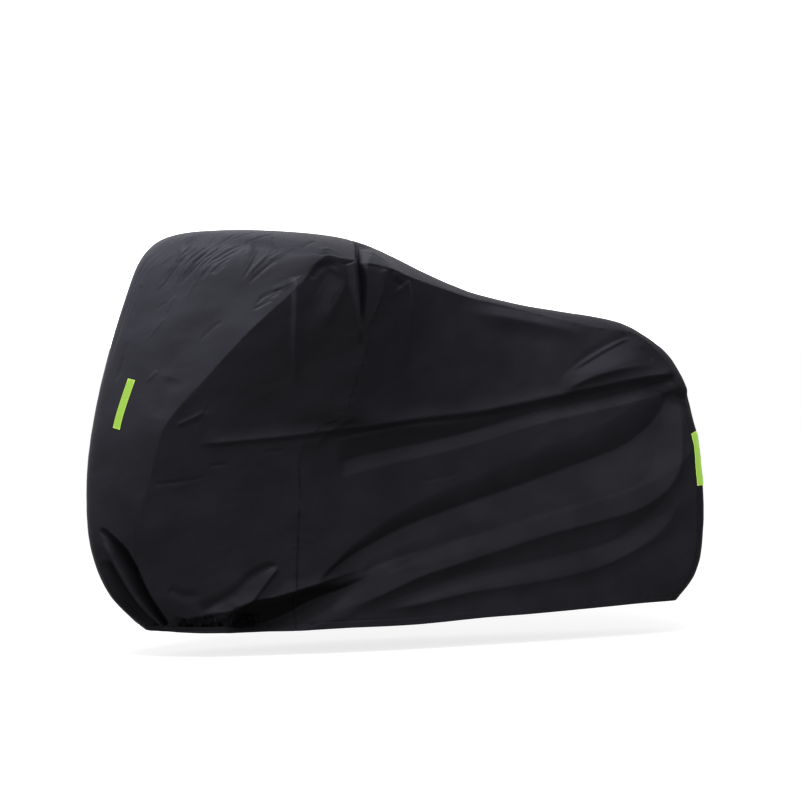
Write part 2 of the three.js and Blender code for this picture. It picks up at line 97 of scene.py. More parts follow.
# A fold is a trough, or a ridge where depth is negative, along a path of (x, z) seen from the side. Its depth
# and its flanks on the left and on the right of the path are each one number, or numbers at even places from
# its start to its end. keen is the shape of the left and the right flank: 1 is straight, as in a pleat, and 2
# is hollow. fade is the part of its length over which each end runs out, and soft rounds its crest. A fold
# that little light reaches can have painted shade: the flank that stays lit, and how much darker the colour
# of the other one is painted.
Recess = namedtuple("Recess", "lit dark")
Fold = namedtuple("Fold", "at path depth left right keen fade soft recess", defaults=(None,))
NEAR_FOLDS = [
    # Under the saddle and at the rear corner
    Fold("ridge along the top seam", [(360, -200), (460, -216), (560, -232), (660, -248), (760, -266)],
         -13, 28, 44, (1, 2), (0.3, 0.4), 4),
    Fold("upper shoulder crease", [(702, -356), (745, -329), (804, -296), (873, -266)],
         5, (8, 22, 26, 24), 8, (1.6, 1), (0.4, 0.06), 1),
    Fold("lower shoulder crease", [(701, -372), (748, -345), (808, -312), (877, -280)],
         7, 9, (8, 26, 44, 56), (1, 1), (0.35, 0.1), 1),
    Fold("edge of the shoulder",
         [(668, -424), (704, -403), (759, -381), (822, -365), (911, -352), (990, -352)],
         (-14, -22, -18), (16, 48, 80, 84), (22, 42), (1, 1.8), (0.25, 0.4), 3),
    Fold("edge above the long crease",
         [(-384, -541), (-309, -536), (-157, -523), (-33, -510), (103, -498), (235, -483), (427, -468),
          (625, -438), (822, -398), (934, -381), (1041, -375)],
         (-6, -9, -11), (34, 40), (11, 22), (2, 1.2), (0.1, 0.06), 1),
    Fold("line under the long crease",
         [(-37, -538), (21, -526), (106, -514), (179, -503), (269, -494), (386, -486), (490, -474)],
         3, 9, 12, (1.5, 1.5), (0.15, 0.3), 1),
    Fold("trough under the long crease",
         [(-8, -603), (72, -585), (157, -569), (244, -556), (339, -539), (432, -520), (531, -494),
          (628, -471), (726, -453), (825, -436), (923, -415), (983, -402), (1036, -386)],
         (20, 20, 18, 16, 14), (60, 24), (36, 26), (1.1, 1), (0.05, 0.04), 1.5),
    # The drag folds from the rear corner down to the front wheel
    Fold("upper edge of the drag fold",
         [(-50, -922), (-22, -901), (2, -884), (32, -863), (72, -840), (129, -814), (187, -788), (263, -763),
          (341, -741), (532, -689), (631, -658), (778, -613), (881, -577), (962, -523), (1010, -468),
          (1030, -402)],
         (24, 34), (12, 20, 42, 64, 84, 96, 96), (30, 60, 80, 110, 140), (1.5, 1), (0.14, 0.05), 1.5),
    Fold("trough inside the drag fold",
         [(76, -901), (116, -880), (200, -855), (282, -838), (370, -816), (485, -795), (621, -763),
          (758, -729)],
         10, (24, 40), (24, 36), (1.3, 1.1), (0.12, 0.45), 1.5),
    Fold("lower edge of the drag fold",
         [(-60, -1002), (-22, -995), (74, -970), (155, -938), (241, -903), (332, -879), (422, -856),
          (522, -831), (620, -806), (771, -776), (874, -754), (947, -724), (999, -687), (1033, -630),
          (1049, -533), (1052, -440)],
         -15, (34, 66), (30, 66), (1, 1.8), (0.25, 0.06), 1.5),
    Fold("trough of the low drag fold",
         [(154, -970), (242, -948), (330, -925), (420, -907), (520, -893), (617, -880), (768, -853),
          (872, -824), (977, -772), (1029, -729)],
         7, (40, 50), (20, 46), (2, 1), (0.15, 0.2), 2),
    Fold("low drag fold",
         [(114, -995), (197, -985), (279, -973), (365, -957), (418, -950), (517, -941), (614, -930),
          (767, -905), (871, -868), (964, -816), (1019, -762), (1052, -693)],
         -10, (20, 52), (26, 60), (1, 2), (0.15, 0.15), 1.5),
    # By the front wheel
    Fold("lap over the tuck",
         [(-266, -984), (-249, -968), (-231, -961), (-184, -951), (-135, -937), (-63, -920), (-16, -906),
          (29, -894), (74, -881)],
         -8, (44, 40, 30, 20), (12, 9, 7, 5), (2, 1.2), (0.1, 0.5), 1),
    # painted shade on the flank left of this fold's path
    Fold("tuck by the front wheel",
         [(-300, -1032), (-258, -1027), (-215, -1023), (-172, -1018), (-116, -997), (-53, -968), (11, -946),
          (70, -915), (124, -886)],
         (24, 44, 48, 44, 34, 24), (26, 56, 70, 70, 60, 48, 38, 28, 14), (12, 30, 56, 62, 46), (0.6, 1.6),
         (0.16, 0.3), 1.2, Recess("right", 0.75)),
    Fold("upper edge of the lit wedge",
         [(-361, -985), (-321, -961), (-289, -943), (-260, -923), (-235, -895), (-201, -874), (-162, -862)],
         7, (30, 18), (12, 30, 46, 48, 40, 28, 8), (2, 1), (0.1, 0.08), 1),
    Fold("lower edge of the lit wedge",
         [(-350, -987), (-295, -982), (-248, -974), (-229, -955), (-201, -922), (-180, -893), (-161, -868)],
         -10, (12, 30, 46, 48, 40, 26, 8), (14, 12), (1, 1.6), (0.12, 0.08), 0.8),
    # The pleats that run down to the front corner of the hem
    # painted shade on the flank right of this fold's path
    Fold("rear pleat at the front hem",
         [(-607, -763), (-589, -781), (-569, -803), (-551, -824), (-528, -864), (-504, -917), (-487, -947),
          (-468, -975), (-441, -1012)],
         (8, 18, 30, 34, 34, 32, 28), (5, 8, 9, 9, 8, 8, 7), (5, 14, 24, 32, 31, 29, 26, 22, 12), (1, 1),
         (0.05, 0), 1, Recess("left", 0.55)),
    Fold("ridge between the pleats",
         [(-600, -798), (-582, -828), (-558, -872), (-534, -914), (-505, -957), (-467, -998), (-450, -1018)],
         -8, (8, 9, 9, 8), (8, 9, 9, 8), (1, 1), (0.15, 0), 0.8),
    # painted shade on the flank right of this fold's path
    Fold("front pleat at the front hem",
         [(-590, -842), (-572, -882), (-549, -924), (-519, -966), (-487, -998), (-458, -1022)],
         (8, 18, 20, 16), (8, 10, 10, 8), (14, 26, 28, 16), (1, 1), (0.12, 0), 1, Recess("left", 0.5)),
    # The nose
    Fold("hollow beside the ridge", [(-262, -118), (-322, -193), (-384, -262), (-446, -332), (-486, -376)],
         6, 82, (90, 100), (1.1, 2), (0.3, 0.3), 10),
    Fold("hollow behind the strip", [(-448, -368), (-462, -420), (-486, -478)],
         4, 34, 30, (2, 2), (0.25, 0.3), 8),
    # Under the handlebar's end
    Fold("cleft in the handlebar's end",
         [(66, -14), (30, -40), (4, -70), (4, -100), (9, -130), (13, -170), (16, -214), (20, -262)],
         (24, 26, 24, 18, 12), (30, 22, 16, 12, 8), (12, 9, 7, 5), (1.2, 1), (0.04, 0.3), 0.8),
    Fold("ridge behind the cleft", [(70, -92), (70, -130), (62, -170), (48, -212), (32, -262)],
         -7, (9, 7), (34, 12), (1, 1.3), (0.1, 0.3), 0.8),
    Fold("blade before the cleft",
         [(-17, -76), (-13, -96), (-7, -135), (1, -176), (9, -213), (18, -250), (26, -286)],
         (-18, -16, -12), (12, 8, 6), (20, 15, 10), (1, 1), (0.06, 0.2), 0.8),
    Fold("long hanging ridge", [(-162, -112), (-158, -185), (-155, -274), (-148, -330), (-139, -385)],
         -9, (26, 22), (12, 11), (1.2, 1), (0.12, 0.25), 1.2),
    Fold("front edge of the hanging leaf",
         [(-70, -90), (-86, -112), (-107, -147), (-115, -190), (-112, -245)],
         7, (46, 38), 40, (1, 1), (0.15, 0.3), 1.5),
    Fold("rear edge of the hanging leaf", [(-30, -116), (-48, -165), (-65, -200), (-72, -245)],
         -6, 22, (40, 36), (1.6, 1), (0.3, 0.3), 1.5),
    Fold("hanging fold behind the cleft", [(148, -124), (166, -165), (176, -250), (182, -350)],
         -15, 14, (54, 74), (1, 1), (0.1, 0.4), 1.5),
]
FAR_FOLDS = [
    Fold("long drag fold", [(-180, -985), (60, -900), (330, -800), (620, -700), (850, -590), (1000, -450)],
         20, (50, 60), (80, 120), (2, 1), (0.1, 0.08), 3),
    Fold("lower edge of the drag fold",
         [(-60, -1000), (180, -945), (480, -860), (780, -770), (960, -670), (1040, -520)],
         -11, (40, 70), (40, 70), (1, 2), (0.12, 0.1), 2.5),
    Fold("second drag fold", [(160, -985), (430, -940), (720, -890), (930, -790), (1030, -700)],
         -7, (30, 55), (36, 60), (1, 2), (0.15, 0.15), 2.5),
    Fold("upper drag fold", [(40, -640), (330, -570), (640, -480), (980, -390)],
         10, (60, 26), (34, 22), (1.5, 1), (0.2, 0.06), 2),
    Fold("ridge over the upper drag fold", [(-60, -560), (330, -500), (640, -430), (980, -370)],
         -5, 30, 24, (2, 1.5), (0.2, 0.1), 2),
    Fold("cleft in the handlebar's end", [(45, -30), (8, -80), (14, -150), (20, -250)],
         12, (48, 16), (14, 10), (1, 1), (0.08, 0.15), 1.2),
    Fold("blade before the cleft", [(-6, -82), (2, -150), (14, -230), (20, -280)],
         -8, (12, 8), (24, 16), (1, 1), (0.1, 0.15), 1),
    Fold("hanging fold before it", [(-90, -120), (-112, -260), (-140, -400)],
         -8, (36, 34), (16, 20), (1.4, 1), (0.2, 0.3), 2),
    Fold("hanging fold behind it", [(140, -130), (165, -230), (190, -340)],
         -8, (18, 16), (44, 50), (1, 1), (0.15, 0.3), 2),
    Fold("pleat at the front hem", [(-600, -790), (-545, -860), (-470, -1030)],
         11, (28, 18), (34, 16), (2, 1), (0.15, 0), 2),
    Fold("ridge beside the pleat", [(-592, -850), (-548, -920), (-486, -1030)],
         -7, (30, 14), (22, 16), (1, 1.5), (0.15, 0), 1.5),
    # painted shade on the flank left of this fold's path
    Fold("tuck by the front wheel", [(-300, -1010), (-150, -960), (-10, -915), (60, -880)],
         14, (30, 14), (34, 26), (1, 1.4), (0.15, 0.2), 2.5, Recess("right", 0.75)),
]

# Finer creases of the near side along paths of (x, z): width is the flank on both sides
Crease = namedtuple("Crease", "path depth width")
NEAR_CREASES = [
    # On the front half
    Crease([(-436, -492), (-398, -473), (-362, -456)], -2.4, 10),
    Crease([(-395, -494), (-357, -442)], 1.2, 9),
    Crease([(-490, -645), (-442, -641), (-396, -634), (-340, -624)], 1.3, 9),
    Crease([(-215, -566), (-150, -561)], 1.6, 8),
    Crease([(-350, -599), (-300, -593)], 1.6, 8),
    # On the rear half, over the foot of the side seam and over the front hem
    Crease([(250, -656), (310, -647), (372, -638)], 1.8, 9),
    Crease([(-70, -556), (-45, -520), (10, -486), (44, -468)], -2.6, 16),
    Crease([(-440, -921), (-398, -939), (-355, -937)], 3.0, 20),
    # Behind the shoulder and at the handlebar's end
    Crease([(912, -300), (950, -340)], 2.4, 12),
    Crease([(96, -110), (122, -106)], -4, 13),
    Crease([(100, -126), (140, -134)], 3.6, 10),
    Crease([(-124, -116), (-108, -92), (-84, -82), (-52, -88)], 6, 15),
    Crease([(-50, -80), (-20, -80), (25, -84), (70, -92)], 2.2, 7),
]

# Streaks of the nose along paths of (x, y, z). Echoes are the weaker streaks on each side, a spacing apart.
Streak = namedtuple("Streak", "path depth width echoes spacing", defaults=(0, 8))
STREAKS = [
    # From the handlebar's end over the top
    Streak([(-170, -171, -1), (-253, -215, -20), (-300, -210, -40), (-342, -189, -68), (-358, -181, -86)],
           2.8, 6, 2, 7),
    Streak([(-215, -140, 2), (-275, -180, -11), (-328, -188, -37), (-366, -170, -70), (-398, -152, -108),
            (-422, -137, -140)], 2.9, 6, 1),
    Streak([(-250, -135, 1), (-307, -178, -16), (-355, -171, -47), (-386, -157, -83)], 2.6, 7),
    # The fan over the corner of the nose
    Streak([(-310, -145, -10), (-355, -162, -31), (-391, -146, -62), (-414, -136, -100), (-430, -130, -136)],
           -3.2, 6, 2),
    Streak([(-345, -135, -16), (-377, -147, -36), (-411, -132, -70), (-438, -117, -112)], 2.3, 6, 2, 7),
    Streak([(-370, -95, -8), (-404, -107, -28), (-455, -79, -69), (-488, -53, -106)], -2.6, 6, 2),
    Streak([(-390, -60, -8), (-437, -68, -32), (-480, -40, -76)], 2.3, 6, 2),
    Streak([(-295, -118, 1), (-339, -160, -18), (-362, -160, -36)], 2, 6),
    # Under the fan
    Streak([(-318, -200, -54), (-346, -188, -79), (-376, -172, -122)], 2.3, 6, 2, 7),
    Streak([(-305, -212, -62), (-331, -199, -86), (-352, -187, -108)], 2.2, 6, 1, 7),
    Streak([(-420, -128, -85), (-441, -116, -113), (-456, -107, -144)], 1.9, 6, 2, 7),
    Streak([(-383, -167, -124), (-397, -160, -147), (-410, -158, -174)], -1, 7),
    # Down from the handlebar's end
    Streak([(-222, -238, -28), (-245, -249, -53), (-262, -246, -86), (-282, -237, -126)], 2.2, 7, 1, 10),
    Streak([(-204, -257, -37), (-232, -260, -66), (-254, -251, -90), (-274, -241, -120)], -1.9, 7),
    Streak([(-203, -276, -70), (-236, -263, -98), (-268, -246, -132)], 2, 7),
    Streak([(-155, -278, -39), (-190, -278, -51), (-226, -267, -72)], -2, 7, 1, 9),
    # Along the ridge
    Streak([(-190, -205, -10), (-198, -244, -27), (-186, -275, -44)], 1.9, 8),
    Streak([(-192, -292, -144), (-216, -282, -156), (-240, -271, -170), (-254, -266, -186)], 2.2, 7, 1, 7),
    Streak([(-145, -314, -113), (-174, -301, -130), (-220, -279, -152)], -2, 7, 1),
    Streak([(-216, -285, -172), (-262, -264, -198)], 1.9, 7),
    # Short ones on the nose and by the strip
    Streak([(-427, -138, -162), (-445, -132, -186), (-450, -133, -208)], -1.2, 7),
    Streak([(-448, -124, -178), (-471, -110, -196)], 0.9, 7),
    Streak([(-456, -130, -218), (-480, -117, -250), (-502, -104, -280)], -1, 8),
    Streak([(-333, -226, -226), (-357, -214, -249), (-384, -201, -278)], 1.6, 7, 1),
    Streak([(-478, -140, -354), (-505, -123, -384)], -1.7, 8),
    # At the edge of the nose
    Streak([(-466, -45, -56), (-489, -32, -89), (-521, -24, -172), (-556, -21, -275), (-580, -19, -350)],
           2.9, 9, 1, 11),
    Streak([(-499, -51, -133), (-509, -56, -174), (-524, -57, -222)], 2.6, 8),
    Streak([(-534, -62, -280), (-553, -63, -339), (-570, -57, -388)], 3, 9),
    # The round edge of the top
    Streak([(-397, -113, -25), (-365, -151, -29), (-304, -207, -40), (-238, -251, -48), (-170, -292, -56),
            (-125, -317, -61)], 7, 70),
    # Finer ones of the corner and the top
    Streak([(-424, -122, -75), (-399, -130, -39), (-364, -125, -12)], -2.2, 6, 2, 7),
    Streak([(-466, -99, -146), (-449, -107, -113), (-419, -123, -64)], -1.9, 6, 2, 7),
    Streak([(-215, -175, -4), (-262, -235, -36), (-292, -232, -62)], -2.2, 6, 2),
    # The peak over the handlebar's end
    Streak([(-84, -236, -19), (-120, -267, -32), (-143, -290, -46)], 2.6, 8, 1, 10),
    Streak([(-92, -296, -45), (-68, -290, -42), (-55, -299, -50), (-44, -325, -66)], -4, 11),
    Streak([(-112, -318, -80), (-98, -318, -64), (-78, -312, -56), (-62, -322, -64)], 5, 12),
    Streak([(42, -237, -35), (66, -270, -53), (94, -290, -76)], -2.6, 12),
]

# How far the echoes of a streak differ from it, as shares of its spacing, its length, its depth and its width
ECHO = {"shift": (0.8, 1.2), "drift": 0.35, "cut": 0.3, "depth": (0.35, 0.75), "width": (0.85, 1.1)}
ECHO_SEED = 7
STREAKS_START = 14  # how far from the seam the streaks have come in
CREASE_SOFT = 0.2  # the share of its width that rounds the crest of a crease or streak
CREASE_FADE = (0.12, 0.3)

# How the cloth lies at a seam and at the hem
SEAM_DIP = 1.5  # how far the cloth dips into a seam, where the seam shows in full
SEAM_WIDTH = 2.4
SEAM_SHOWS = {"ridge": 0.2, "tip": 0.5, "top": 0.7, "back": 0.7, "side": 1.2}
SEAM_CHANGE = 0.02  # the part of the centre panel's run over which its seam comes to show differently
SEAM_GAP = 0.15  # from a panel's turned edge to the seam's line
PUCKER = 0.8  # the little waves that the thread draws beside a seam
PUCKER_REACH = 13
ALLOWANCE = (1.5, 4.0, 8.0)  # how deep the turned edge lies inside a seam
HEM_DEPTH = 18  # from the hem's edge to its line of stitches
HEM_RISE = 0.6  # how much the doubled cloth stands out
HEM_STEP = 2  # the width over which it comes down to the single cloth
HEM_LINE = {"depth": 0.7, "width": 1.6, "wave_reach": 12}
HEM_ROLL = [(0.8, 0.5), (1.1, 1.4), (0.3, 2.3), (-5.0, 2.3), (-HEM_DEPTH, 1.8)]  # down and in from its edge

# Places of the mesh's points beside a seam and a hem, in distances from it
SEAM_STOPS = (0, 0.8, 1.8, 3.0, 4.6)
FAR_SEAM_STOPS = (0, 1.6, 3.6)
HEM_STOPS = (0, 1.5, 4, 8, 12, 15.6, 16.8, 18, 19.2, 20.4)

STITCH = {"long": 3.2, "pitch": 4.8, "thick": 0.45, "from_seam": 3.4, "sunk": 0.3, "lift": 0.2}
THREAD_PARTS = (0.25, 0.75)  # how far along a thread its two thick places are
THREAD_CORNERS = 4
THREAD_POINTS = 2 * THREAD_CORNERS + 2

# The elastic in the front hem draws the cloth into small uneven gathers, which run out upwards
GATHERS = {"from": -432, "to": -190, "run_out": 40, "sunk": 16, "depth": 9, "tall": 46, "edge": (2, 14)}
GATHERS_TOP = 14  # the height over which the gathers run out
GATHERS_PAINTED_SHADE = 0.45  # painted shade: how much darker the cloth's colour is painted inside them
GATHERS_PAINTED_SHADE_FROM = (2, 12)  # painted shade: the depths of the gathers between which it comes in
PAINTED_SHADE_FROM = (0.05, 0.6)  # painted shade: the shares of a fold's depth between which it comes in on the dark flank

# Uneven waves of the cloth: their size, how long and how wide one is, and the seed of their noise
Ripple = namedtuple("Ripple", "size long wide seed")
RIPPLES = {
    "slow wave": Ripple(0.8, 130, 52, 11),
    "small wave": Ripple(0.25, 50, 19, 13),
    "wave of the nose": Ripple(0.3, 90, 26, 21),
    "depth of a seam": Ripple(0.7, 17, 1, 4),
    "pucker": Ripple(1, 9, 40, 5),
    "long pucker": Ripple(0.5, 20.7, 60, 6),
    "wave of the hem": Ripple(0.7, 8, 30, 8),
    "top of the gathers": Ripple(0.14, 30, 90, 31),
    "lean of the gathers": Ripple(9, 40, 30, 32),
    "gather": Ripple(1, 8, 18, 33),
    "fine gather": Ripple(0.7, 5, 9, 34),
}
WAVES_LIE = ((1, 0.8), (0.5, -1))  # the (x, z) that the first two of them run along and across
FAR_SHIFT = 977  # how far the far side's seams and hem are moved along the same noise

# The direction that points inwards from anywhere on the cover
HEART = {"x": 270, "z": -560, "long": 900, "tall": 600}
WIDE = {"low": 170, "high": 300, "from": -300, "to": -120}  # how wide it takes the cover to be, by the height
LEVEL_OVER_HEM = 150  # the height over the hem below which inwards turns level

EASE = 0.42  # the reach of the mean along the ribs' lines, in spaces between ribs
EASE_SHARES = [(-1, 0.1), (-0.67, 0.16), (-0.33, 0.16), (0, 0.16), (0.33, 0.16), (0.67, 0.16), (1, 0.1)]
FOLDS_START = 0.35  # the part of a rib, from the centre line, over which its folds come in
FOLD_PIECES = 28  # the straight pieces of a traced path
CURVE_SAMPLES = 801
RUN_SAMPLES = 4001
RIB_SAMPLES = 65
TINY = 1e-6  # keeps the end of a fold or crease that doesn't run out
END_STEP = 1e-4  # how far inside an end of the centre panel its direction there is taken
PAST_END = 1e-3  # how far past the panel's edge the rows of its turned seam count as being

# The steps of the centre panel's mesh: along it, across its near half and across its far half
FRONT_STEPS = (3.3, 3.2, 8.2)
REAR_STEPS = (5.6, 5.1, 8.2)

# The strips on the near half of the centre panel, between two heights, with their places across the panel at
# both. slant is how much further along the panel the side away from the seam lies.
Strip = namedtuple("Strip", "name node low high low_across high_across slant part")
STRIPS = [
    Strip("front_tape", "front_reflector", -506, -378, (-0.589, -0.488), (-0.538, -0.459), 6, "front"),
    Strip("rear_tape", "rear_reflector", -691, -544, (-0.97, -0.52), (-0.97, -0.52), 14, "back"),
]
STRIP_LIFT = 0.7  # how far its inner face is off the cloth
STRIP_THICK = 1.5
STRIP_RIM = (0.55, 1.2)  # the share of its thickness at its rim, and how far in it reaches the whole
STRIP_BORDER = (3.2, 4.0)  # where its border starts and ends to sink
STRIP_SUNK = 0.45  # how much lower it is inside its border
STRIP_LINE = 2.4  # from its rim to its line of stitches
STRIP_STOPS = (0, 0.5, 1.2, STRIP_LINE, *STRIP_BORDER)
STRIP_STEPS = (2.5, 2.2)
STRIP_SAMPLES = {"long": 50, "wide": 20, "off": 25}

# Colours and light. A ramp's two colours each come with their place on it, from 0 to 1.
CLOTH_COLOURS = ((0.3, (0.0276, 0.0276, 0.0332)), (0.7, (0.0356, 0.0356, 0.0430)))
THREAD_COLOUR = (0.02, 0.02, 0.022, 1)
TAPE_BASE = (0.05, 0.07, 0.015, 1)
# painted light: the tape glows though it is no lamp, from its inside (0) to its border (1)
TAPE_PAINTED_GLOW = ((0, (0.36, 0.57, 0.12)), (1, (0.54, 0.72, 0.17)))
FLOOR = {"wide": 60, "z": -1.105, "colour": (0.21, 0.21, 0.21, 1), "glow": 0.82}
# The sky is made of broad soft lights: each is brightest towards its direction
SKY = [((0, -1, 0), 1.26), ((-1, 0, 0), 0.5), ((0, 1, 0), 2.2), ((0, 0, 1), 0.75)]
# The lamps: what each points at, the direction it stands in, how far off, its size and its power
Lamp = namedtuple("Lamp", "name target direction away size power")
LAMPS = [
    Lamp("lamp_over_nose", (-0.3, -0.05, -0.05), (-0.6, -0.3, 0.74), 1.5, (0.7, 0.6), 60),
    Lamp("lamp_over_rear", (0.8, -0.15, -0.3), (0.15, -0.5, 0.85), 1.4, (0.7, 0.6), 16),
]
LAMP_COLOUR = (0.97, 0.98, 1.0)
CAMERA_AT = (-1.9938, -6.1215, -0.215)
CAMERA_TOWARDS = (0.34181, 0.93912, -0.0349)
LENS = {"lens": 107.865, "sensor_width": 36, "clip_start": 0.1, "clip_end": 200}
GAMMA = 0.75


def smooth(lo, hi, value):
    t = np.clip((value - lo) / (hi - lo), 0, 1)
    return t * t * (3 - 2 * t)


def lattice(i, j, seed):
    """A fixed number from -1 to 1 for each whole-number place."""
    h = (i * 374761393 + j * 668265263 + seed * 974634777) & 0xFFFFFFFF
    h = ((h ^ (h >> 13)) * 1274126177) & 0xFFFFFFFF
    return ((h ^ (h >> 16)) & 0xFFFF) / 32767.5 - 1.0


def noise(x, y, seed):
    """Smooth noise from -1 to 1 over a plane whose cells are one wide."""
    i, j = np.floor(x).astype(np.int64), np.floor(y).astype(np.int64)
    u, v = x - i, y - j
    u, v = u * u * (3 - 2 * u), v * v * (3 - 2 * v)
    low = lattice(i, j, seed) * (1 - u) + lattice(i + 1, j, seed) * u
    high = lattice(i, j + 1, seed) * (1 - u) + lattice(i + 1, j + 1, seed) * u
    return low * (1 - v) + high * v


def ripple(name, along, across, other=0):
    """One of the uneven waves. other gives the same kind of wave with another seed."""
    wave = RIPPLES[name]
    return wave.size * noise(along / wave.long, across / wave.wide, wave.seed + other)


def unit(vectors):
    return vectors / np.maximum(np.linalg.norm(vectors, axis=-1), 1e-9)[..., None]


def spread(values, along):
    """A number, or numbers at even places from 0 to 1, at the places along."""
    values = np.atleast_1d(values)
    return np.interp(along, np.linspace(0, 1, len(values)), values)


def curve_through(points):
    """The open centripetal Catmull-Rom curve through points, as a function of places from 0 to 1."""
    points = np.array(points, float)
    padded = np.vstack([2 * points[0] - points[1], points, 2 * points[-1] - points[-2]])

    def curve(t):
        place = np.clip(t, 0, 1) * (len(points) - 1)
        i = np.minimum(place.astype(int), len(points) - 2)
        w = (place - i)[:, None]
        p0, p1, p2, p3 = (padded[i + k] for k in range(4))
        d0, d1, d2 = (((b - a) ** 2).sum(1)[:, None] ** 0.25 for a, b in ((p0, p1), (p1, p2), (p2, p3)))
        t1 = ((p1 - p0) / d0 - (p2 - p0) / (d0 + d1) + (p2 - p1) / d1) * d1
        t2 = ((p2 - p1) / d1 - (p3 - p1) / (d1 + d2) + (p3 - p2) / d2) * d1
        return p1 + w * (t1 + w * (3 * (p2 - p1) - 2 * t1 - t2 + w * (2 * (p1 - p2) + t1 + t2)))

    return curve


def length_along(points):
    """How far along a row of points each point lies."""
    return np.concatenate([[0], np.cumsum(np.linalg.norm(np.diff(points, axis=0), axis=1))])


def stretch(curve, lo, hi):
    """The piece of a curve between two of its places, as a function of shares of that piece's length."""
    t = np.linspace(lo, hi, CURVE_SAMPLES)
    length = length_along(curve(t))
    return lambda share: curve(np.interp(share * length[-1], length, t))


def eased(curve):
    """The mean of a curve around each place, so that its pace changes without a jump where a rib is."""
    def mean(t):
        reach = np.minimum(EASE / (len(RIBS) - 1), np.minimum(t, 1 - t))
        return sum(share * curve(t + side * reach) for side, share in EASE_SHARES)

    return mean


def near_row(row):
    return (row[0], -row[1], row[2])


seam_line = eased(curve_through([(r.sx, -r.half, r.sz) for r in RIBS]))
centre_line = eased(curve_through([(r.cx, 0, r.cz) for r in RIBS]))
fullness = eased(lambda t: np.interp(t * (len(RIBS) - 1), np.arange(len(RIBS)), [r.full for r in RIBS]))
front_hem = stretch(curve_through([near_row(r) for r in FRONT_HEM]), 0, 1)
rear_hem = stretch(curve_through([near_row(r) for r in REAR_HEM]), 0, 1)


def rib_at(name):
    return [r.at for r in RIBS].index(name) / (len(RIBS) - 1)


TIP_FRONT = rib_at("tip front")
TIP_REAR = rib_at("tip rear")
REAR_CORNER = rib_at("rear corner")
top_corner = seam_line(np.array([TIP_REAR]))[0]
side_seam = stretch(curve_through([top_corner, *(near_row(r) for r in SIDE_SEAM[1:])]), 1, 0)

# How the seam of the centre panel shows along its run
SEAM_ENDS = [0, TIP_FRONT - SEAM_CHANGE, TIP_FRONT, TIP_REAR, TIP_REAR + SEAM_CHANGE, REAR_CORNER,
             REAR_CORNER + SEAM_CHANGE, 1]
SEAM_PARTS = ("ridge", "ridge", "tip", "tip", "top", "top", "back", "back")

# The side panels: their front, rear, low and high edge, the seams at the front, rear and high edge, each with
# whether it is stitched down on this panel, their size, and the mesh's step on the near and on the far side
ridge, tip = stretch(seam_line, 0, TIP_FRONT), stretch(seam_line, TIP_FRONT, TIP_REAR)
back, top = stretch(seam_line, 1, REAR_CORNER), stretch(seam_line, TIP_REAR, REAR_CORNER)
SidePanel = namedtuple("SidePanel", "part edges seams wide tall near_step far_step")
SIDE_PANELS = [
    SidePanel("front_panel", (ridge, side_seam, front_hem, tip),
              (("ridge", False), ("side", False), ("tip", True)), 470, 1030, 3.0, 6.0),
    SidePanel("rear_panel", (side_seam, back, rear_hem, top),
              (("side", True), ("back", True), ("top", True)), 1200, 1000, 3.7, 7.0),
]


def panel_run():
    """How far along the centre panel its places lie, by the longer of its seam and its centre line."""
    u = np.linspace(0, 1, RUN_SAMPLES)
    paces = [np.linalg.norm(np.diff(line(u), axis=0), axis=1) for line in (seam_line, centre_line)]
    return u, np.concatenate([[0], np.cumsum(np.maximum(*paces))])


RUN_PLACES, RUN = panel_run()


def centre_surface(u, v):
    """Points of the centre panel: u runs along it, v from the near seam (-1) to the far one (1)."""
    seam, centre = seam_line(u), centre_line(u)
    turn = np.column_stack([centre[:, 0], fullness(u) * seam[:, 1], centre[:, 2]])
    side = np.abs(v)[:, None]
    p = (1 - side) ** 2 * centre + 2 * (1 - side) * side * turn + side ** 2 * seam
    p[:, 1] *= np.where(v > 0, -1, 1)
    return p


def side_surface(edges, s, t):
    """A grid of points of a side panel between its four edges: s from front to rear, t from hem to top."""
    front, rear, low, high = edges
    f, r, lo, hi = front(t)[None], rear(t)[None], low(s)[:, None], high(s)[:, None]
    a, b = s[:, None, None], t[None, :, None]
    corners = (1 - a) * (1 - b) * lo[:1] + a * (1 - b) * lo[-1:] + (1 - a) * b * hi[:1] + a * b * hi[-1:]
    return (1 - b) * lo + b * hi + (1 - a) * f + a * r - corners


def inward(p):
    wide = WIDE["low"] + (WIDE["high"] - WIDE["low"]) * smooth(WIDE["from"], WIDE["to"], p[:, 2])
    return unit(np.column_stack([
        -(p[:, 0] - HEART["x"]) / HEART["long"] ** 2,
        -p[:, 1] / wide ** 2,
        -(p[:, 2] - HEART["z"]) / HEART["tall"] ** 2 * smooth(HEM_Z, HEM_Z + LEVEL_OVER_HEM, p[:, 2]),
    ]))


def traced(path):
    """A path drawn out as short straight pieces, along the uniform Catmull-Rom curve through its points."""
    p = np.array(path, float)
    last = len(p) - 1
    place = np.linspace(0, 1, FOLD_PIECES + 1) * last
    i = np.minimum(place.astype(int), last - 1)
    w = (place - i)[:, None]
    p0, p1, p2, p3 = p[np.maximum(i - 1, 0)], p[i], p[i + 1], p[np.minimum(i + 2, last)]
    v0, v1 = (p2 - p0) / 2, (p3 - p1) / 2
    return p1 + w * (v0 + w * (3 * (p2 - p1) - 2 * v0 - v1 + w * (2 * (p1 - p2) + v0 + v1)))


